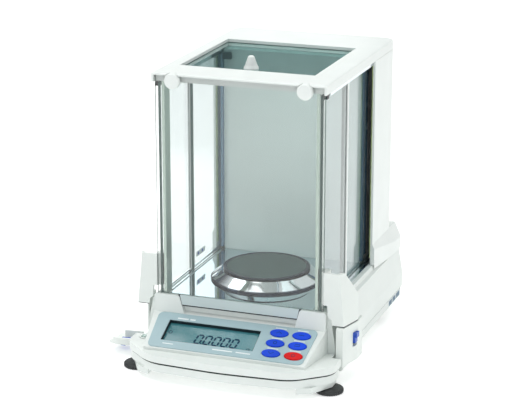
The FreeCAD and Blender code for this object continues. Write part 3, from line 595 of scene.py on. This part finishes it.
def add_stroke(shape, points, width, low, high, closed=False):
    """A drawn line of even width along points, with mitred corners."""
    count = len(points)
    sides = []
    for i, point in enumerate(points):
        before = points[i - 1] if i or closed else point
        after = points[(i + 1) % count] if i < count - 1 or closed else point
        run = Vector((after[0] - before[0], after[1] - before[1])).normalized()
        across = Vector((-run.y, run.x)) * width / 2
        sides.append((Vector(point) + across, Vector(point) - across))
    for i in range(count if closed else count - 1):
        (a, b), (c, d) = sides[i], sides[(i + 1) % count]
        add_slab(shape, [a, c, d, b], low, high)


def ring_points(x, y, radius, count=20, start=0.0, turn=360.0):
    """Points round a centre, for a full ring or for an arc of some degrees."""
    steps = count if turn == 360 else count - 1
    angles = [math.radians(start + turn * i / steps) for i in range(count)]
    return [(x + radius * math.cos(a), y + radius * math.sin(a)) for a in angles]


def add_lathe(shape, profile, count=48, axis=(0, 0), ripple=0.0, teeth=24, ripple_from=0.0):
    """A body turned from (radius, height) points, with optional grip ripples outside a radius."""
    rings = []
    for radius, height in profile:
        ring = []
        for i in range(count):
            angle = 2 * math.pi * i / count
            wave = ripple * math.cos(teeth * angle) if radius > ripple_from else 0
            reach = radius + wave
            x = axis[0] + reach * math.cos(angle)
            y = axis[1] + reach * math.sin(angle)
            ring.append(shape.verts.new((x, y, height)))
        rings.append(ring)
    for low, high in zip(rings, rings[1:]):
        for i in range(count):
            j = (i + 1) % count
            shape.faces.new((low[i], low[j], high[j], high[i]))
    shape.faces.new(rings[0])
    shape.faces.new(rings[-1])


# ---------------------------------------------------------------- console

WINDOW_U = (-74.0, 29.0)
WINDOW_V = (-42.0, -12.0)
GLASS_W = -3.2
INK_W = (GLASS_W + 0.02, GLASS_W + 0.06)
# The six bars of a zero, from corner to corner of a digit one unit wide and high
ZERO_BARS = [
    ((0, 1), (1, 1)),
    ((0, 0), (1, 0)),
    ((0, 0.5), (0, 1)),
    ((1, 0.5), (1, 1)),
    ((0, 0), (0, 0.5)),
    ((1, 0), (1, 0.5)),
]
DIGIT_SIZE = (6.3, 12.2)
DIGIT_BAR = 2.1
DIGIT_GAP = 0.25
DIGIT_PITCH = 9.9
DIGIT_COUNT = 5
DIGIT_LEAN = math.tan(math.radians(9))
FIRST_DIGIT = (-39, -37.4)


def add_digit_bar(shape, start, end):
    """One bar of a digit: a long hexagon."""
    run = (end - start).normalized()
    across = Vector((-run.y, run.x)) * DIGIT_BAR / 2
    start, end = start + run * DIGIT_GAP, end - run * DIGIT_GAP
    inner = run * DIGIT_BAR / 2
    outline = [start, start + inner + across, end - inner + across, end, end - inner - across,
               start + inner - across]
    add_slab(shape, outline, *INK_W)


def add_zero(shape, left, bottom):
    """A leaning zero on the display."""
    for bar in ZERO_BARS:
        ends = []
        for a, b in bar:
            rise = b * DIGIT_SIZE[1]
            ends.append(Vector((left + a * DIGIT_SIZE[0] + rise * DIGIT_LEAN, bottom + rise)))
        add_digit_bar(shape, *ends)


def display_digits():
    """The reading 0.0000, the zero ring and the unit g."""
    shape = bmesh.new()
    left, bottom = FIRST_DIGIT
    for index in range(DIGIT_COUNT):
        add_zero(shape, left + index * DIGIT_PITCH, bottom)
    point = ring_points(-30.9, -37.2, 0.45, 8)
    zero_sign = ring_points(-69.0, -26.0, 1.9)
    gram_bowl = ring_points(21.5, -37.0, 1.4)
    gram_tail = [(23.1, -35.4), (22.7, -39.2), (21.6, -40.2), (20.2, -39.7)]
    add_stroke(shape, point, 0.8, *INK_W, True)
    add_stroke(shape, zero_sign, 0.9, *INK_W, True)
    add_stroke(shape, gram_bowl, 0.6, *INK_W, True)
    add_stroke(shape, gram_tail, 0.6, *INK_W)
    piece("display_digits", shape, "case", "lcd", INK, CONSOLE)


def display_recess_shade():
    """Walls of the recess between the printed panel and the display glass, painted dark as painted shade
    of the recess.
    """
    shape = bmesh.new()
    wall, clear = 0.5, 0.1
    left, right = WINDOW_U[0] + clear, WINDOW_U[1] - clear
    bottom, top = WINDOW_V[0] + clear, WINDOW_V[1] - clear
    height = (GLASS_W + 0.1, 0.3)
    add_block(shape, (left, right), (top - wall, top), height)
    add_block(shape, (left, right), (bottom, bottom + wall), height)
    for u in (left, right - wall):
        add_block(shape, (u, u + wall), (bottom + wall, top - wall), height)
    piece("display_recess_shade", shape, "case", "clip", DARK, CONSOLE, 0.08)


KEY_U = {"left": 49.0, "right": 73.5}
KEY_V = {"upper": -12.2, "middle": -27.0, "lower": -41.8}
PANEL_PRINT_W = (0.82, 0.86)
KEY_PRINT_W = (2.0, 2.04)


def panel_print():
    """Plain light bars where the panel carries words."""
    shape = bmesh.new()
    above, below = -8.6, -46.6
    bars = [(-66, 12, above, 2.0), (-52, 6, above, 2.0), (-70, 12, below, 1.2), (-14, 22, below, 1.6),
            (12, 16, below, 1.6)]
    for row in KEY_V.values():
        for across in KEY_U.values():
            bars.append((across - 6, 12, row + 7.2, 1.1))
    for u, length, v, thick in bars:
        add_block(shape, (u, u + length), (v - thick / 2, v + thick / 2), PANEL_PRINT_W)
    piece("panel_print", shape, "case", "panel", PRINT, CONSOLE, 0.01)


def key_marks():
    """A small plain sign on each key."""
    signs = {
        "upper_left": [([(-3, -1.2), (0, 1.4), (3, -1.2)], False)],
        "upper_right": [([(-3, 0), (3, 0)], False)],
        "middle_left": [(ring_points(0, 0, 1.7), True)],
        "middle_right": [([(-2.6, -1.3), (2.6, -1.3), (2.6, 1.3), (-2.6, 1.3)], True)],
        "lower_left": [([(-3, 1.2), (0, -1.4), (3, 1.2)], False)],
        "lower_right": [(ring_points(0, 0, 1.9, 14, 120, 300), False), ([(0, 0.4), (0, 2.4)], False)],
    }
    for key, strokes in signs.items():
        row, across = key.split("_")
        shape = bmesh.new()
        for points, closed in strokes:
            moved = [(KEY_U[across] + a, KEY_V[row] + b) for a, b in points]
            add_stroke(shape, moved, 0.6, *KEY_PRINT_W, closed)
        slot = "key_red" if key == "lower_right" else "key_blue"
        piece("key_mark_" + key, shape, "key_" + key, slot, INK, CONSOLE)


def level_details():
    """The bubble and the ring scribed round it."""
    low, high = box_mm("level_vial")
    axis = ((low + high) / 2).xy
    profile = [(0.3, 0.0), (1.5, 0.3), (1.9, 0.8), (1.5, 1.3), (0.3, 1.6)]
    bubble = bmesh.new()
    add_lathe(bubble, [(radius, low.z + rise) for radius, rise in profile], 24, axis)
    piece("level_bubble", bubble, "case", "level_glass", PRINT)
    ring = bmesh.new()
    add_stroke(ring, ring_points(*axis, 2.9, 28), 0.35, high.z + 0.06, high.z + 0.12, True)
    piece("level_ring", ring, "case", "level_glass", BLUE_PRINT)


# ---------------------------------------------------------------- chamber


def strip_shadow_gap():
    """Painted shadow: a black strip in the shadow gap under the front strip and up beside the console's
    two tabs.
    """
    low, high = box_mm("front_strip")
    half = 64.2
    tab_edge = [(64.6, -0.2), (64.8, -0.2), (66.9, 8.2), (68.5, 10.0), (68.5, 10.5), (66.8, 10.5)]
    shape = bmesh.new()
    add_block(shape, (-half, half), (low.y + 0.3, high.y - 0.2), (low.z - 1.3, low.z - 0.1))
    for side in SIDES.values():
        outline = [(side * across, low.z + rise) for across, rise in tab_edge]
        add_slab(shape, outline, low.y + 0.2, high.y - 0.2, "XZ")
    piece("strip_shadow_gap", shape, "case", "clip", DARK, bevel=0.1)


def column_mouths():
    """What shows in the open front of the column beside the rear panel: felt wipers and a dark liner."""
    front = box_mm("column_cover")[0].y
    rows = [
        ("column_felt_", (91.2, 92.3), (1.0, 5.5), (83.6, 302.5), "seal", FELT, 0.25),
        ("column_liner_", (79.8, 82.0), (0.4, 18.0), (83.4, 302.0), "seal", None, 0.2),
        ("chamber_corner_block_", (70.0, 79.2), (-8.0, -2.2), (297.0, 304.0), "clip", None, 0.6),
    ]
    for name, side in SIDES.items():
        for label, across, behind, height, slot, finish, bevel in rows:
            shape = bmesh.new()
            add_block(shape, [side * x for x in across], [front + y for y in behind], height)
            piece(label + name, shape, "case", slot, finish, bevel=bevel)


def lever_shadow_strips():
    """Painted shadow: a black strip on the underside of each lever, in the shadow gap where the closed
    grip meets it.
    """
    outline = [(103.2, -87.6), (115.3, -87.6), (122.2, -60.2), (121.0, -60.2), (114.2, -86.2),
               (103.2, -86.2)]
    for name, side in SIDES.items():
        shape = bmesh.new()
        add_slab(shape, [(side * a, b) for a, b in outline], 63.1, 63.95)
        piece("lever_shadow_strip_" + name, shape, "front_door_" + name, "clip", DARK, bevel=0.1)


def door_sticker():
    """A small plain sticker with two blue dots low on the left rear pane."""
    face = box_mm("rear_pane_left")[1].x
    low, high = 91.0, 97.0
    paper = bmesh.new()
    add_slab(paper, [(0, low), (26, low), (26, high), (0, high)], face + 0.08, face + 0.15, "YZ")
    piece("door_sticker", paper, "rear_door_left", "clear_glass", PRINT, bevel=0.01)
    dots = bmesh.new()
    for y in (6, 18):
        dot = ring_points(y, (low + high) / 2, 1.9, 16)
        add_slab(dots, dot, face + 0.16, face + 0.22, "YZ")
    piece("door_sticker_dots", dots, "rear_door_left", "clear_glass", FINISHES["latch_blue"])


# ---------------------------------------------------------------- case

CASE_HALF = 103.5


def case_decal():
    """A pale label with plain blocks low on the right side, near the back."""
    low, high = 12.6, 20.4
    label = bmesh.new()
    outline = [(122, low), (172, low), (172, high), (122, high)]
    add_slab(label, outline, CASE_HALF + 0.02, CASE_HALF + 0.1, "YZ")
    piece("case_decal", label, "case", "housing", PRINT, bevel=0.02)
    low, high = low + 1, high - 1
    bars = bmesh.new()
    for y0, y1 in ((125, 137), (139.5, 152), (154.5, 168)):
        outline = [(y0, low), (y1, low), (y1, high), (y0, high)]
        add_slab(bars, outline, CASE_HALF + 0.11, CASE_HALF + 0.16, "YZ")
    piece("case_decal_bars", bars, "case", "housing", BLUE_PRINT)


def rear_label():
    """A plain data plate between the sockets and the column."""
    rear = box_mm("upper_case")[1].y
    plate = bmesh.new()
    add_slab(plate, [(-30, 60), (40, 60), (40, 74), (-30, 74)], rear + 0.05, rear + 0.25, "XZ")
    piece("rear_label", plate, "case", "steel", bevel=0.05)
    bars = bmesh.new()
    left, thick = -26, 1.4
    for row in range(3):
        right = 30 - row * 9
        low = 62 + row * 4
        outline = [(left, low), (right, low), (right, low + thick), (left, low + thick)]
        add_slab(bars, outline, rear + 0.26, rear + 0.3, "XZ")
    piece("rear_label_bars", bars, "case", "steel", DARK)


def socket_nuts():
    """A hexagon nut on each side of the serial socket."""
    rear = box_mm("upper_case")[1].y
    socket = middle_mm("serial_socket")
    shape = bmesh.new()
    for offset in (-20.6, 20.6):
        add_slab(shape, ring_points(socket.x + offset, socket.z, 2.4, 6), rear + 0.05, rear + 3, "XZ")
    piece("serial_nuts", shape, "case", "steel", bevel=0.2)


def knurled_feet():
    """Levelling feet with a fluted rim, in place of the plain turned ones."""
    profile = [(12.8, 0.0), (14.2, 0.3), (14.7, 1.0), (14.7, 3.7), (13.9, 4.6), (12.6, 4.9), (3.1, 4.9),
               (2.9, 17.0)]
    for name in SIDES:
        shape = bmesh.new()
        axis = middle_mm("levelling_foot_" + name).xy
        add_lathe(shape, profile, 144, axis, ripple=0.28, teeth=36, ripple_from=14.0)
        foot = piece("levelling_foot_fluted_" + name, shape, "foot_" + name, "foot_rubber")
        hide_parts("levelling_foot_" + name)


add_camera()
add_world()
add_lights()
add_floor()
finish_cad_nodes()
for make in (display_digits, display_recess_shade, panel_print, key_marks, level_details, strip_shadow_gap,
             column_mouths, lever_shadow_strips, door_sticker, case_decal, rear_label, socket_nuts,
             knurled_feet):
    make()

bpy.context.scene.view_settings.view_transform = "Standard"
